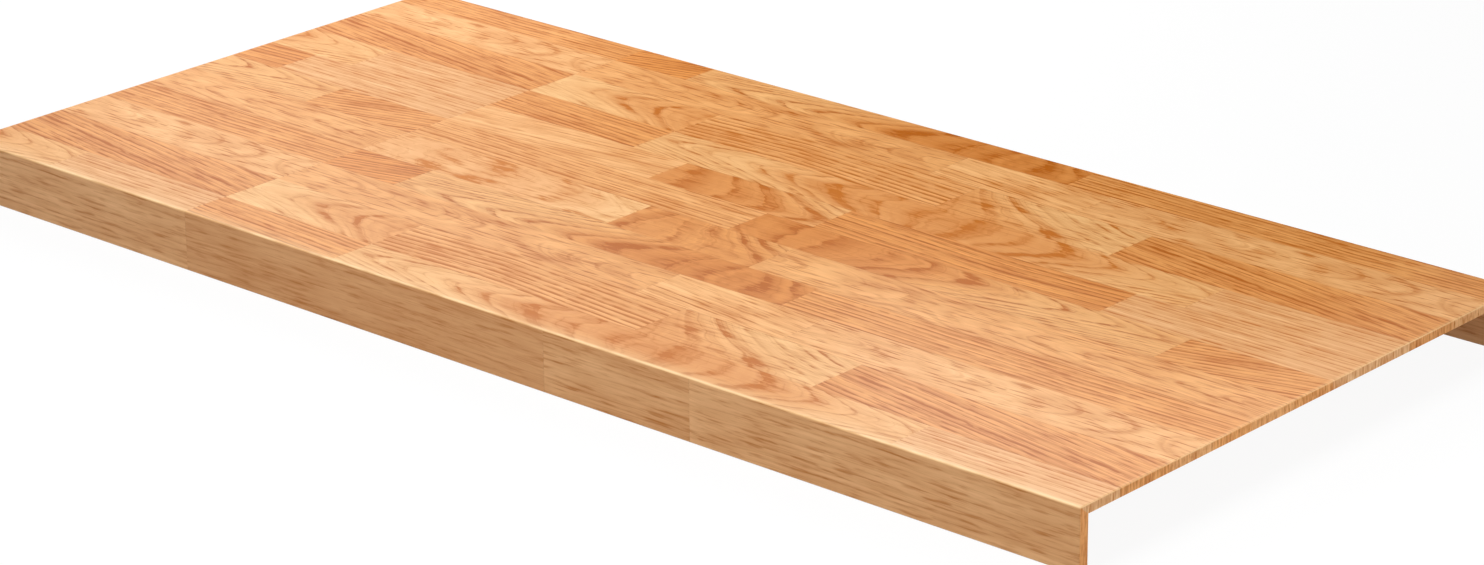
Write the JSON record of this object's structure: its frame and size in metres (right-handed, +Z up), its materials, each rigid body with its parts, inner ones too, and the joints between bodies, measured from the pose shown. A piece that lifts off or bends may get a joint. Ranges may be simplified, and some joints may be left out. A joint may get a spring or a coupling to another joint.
{
  "type": "stair tread",
  "caption": "Oak stave stair tread with a turned-down nosing along both long edges, laid over an old step or sawn lengthwise into separate treads.",
  "frame": {"origin": "centre of the footprint, on the plane of the nosings' feet", "axes": "+X along the tread to the right end, +Y from the front nosing to the rear one, +Z up through the walking surface"},
  "size_m": [1.3, 0.6, 0.056],
  "materials": {
    "oak_pale": "clear oiled, satin",
    "oak_honey": "clear oiled, satin",
    "oak_tan": "clear oiled, satin",
    "oak_russet": "clear oiled, satin",
    "oak_nosing": "clear oiled, satin"
  },
  "bodies": {
    "root": {"board_row01_stave_1": "oak_honey", "board_row01_stave_2": "oak_tan", "board_row01_stave_3": "oak_russet", "board_row01_stave_4": "oak_honey", "board_row02_stave_1": "oak_pale", "board_row02_stave_2": "oak_honey", "board_row02_stave_3": "oak_honey", "board_row02_stave_4": "oak_pale", "board_row03_stave_1": "oak_russet", "board_row03_stave_2": "oak_honey", "board_row03_stave_3": "oak_tan", "board_row03_stave_4": "oak_honey", "board_row03_stave_5": "oak_russet", "board_row04_stave_1": "oak_pale", "board_row04_stave_2": "oak_honey", "board_row04_stave_3": "oak_russet", "board_row04_stave_4": "oak_pale", "board_row04_stave_5": "oak_honey", "board_row05_stave_1": "oak_pale", "board_row05_stave_2": "oak_tan", "board_row05_stave_3": "oak_tan", "board_row05_stave_4": "oak_honey", "board_row05_stave_5": "oak_pale", "board_row05_stave_6": "oak_tan", "board_row06_stave_1": "oak_russet", "board_row06_stave_2": "oak_honey", "board_row06_stave_3": "oak_tan", "board_row06_stave_4": "oak_russet", "board_row06_stave_5": "oak_honey", "board_row07_stave_1": "oak_pale", "board_row07_stave_2": "oak_tan", "board_row07_stave_3": "oak_honey", "board_row07_stave_4": "oak_pale", "board_row08_stave_1": "oak_honey", "board_row08_stave_2": "oak_tan", "board_row08_stave_3": "oak_russet", "board_row08_stave_4": "oak_honey", "board_row09_stave_1": "oak_pale", "board_row09_stave_2": "oak_honey", "board_row09_stave_3": "oak_honey", "board_row09_stave_4": "oak_pale", "board_row10_stave_1": "oak_russet", "board_row10_stave_2": "oak_honey", "board_row10_stave_3": "oak_tan", "board_row10_stave_4": "oak_honey", "board_row10_stave_5": "oak_russet", "board_row11_stave_1": "oak_pale", "board_row11_stave_2": "oak_honey", "board_row11_stave_3": "oak_russet", "board_row11_stave_4": "oak_pale", "board_row11_stave_5": "oak_honey", "front_nosing_stave_1": "oak_nosing", "front_nosing_stave_2": "oak_nosing", "front_nosing_stave_3": "oak_nosing", "front_nosing_stave_4": "oak_nosing", "rear_nosing_stave_1": "oak_nosing", "rear_nosing_stave_2": "oak_nosing", "rear_nosing_stave_3": "oak_nosing", "rear_nosing_stave_4": "oak_nosing"}
  },
  "joints": []
}
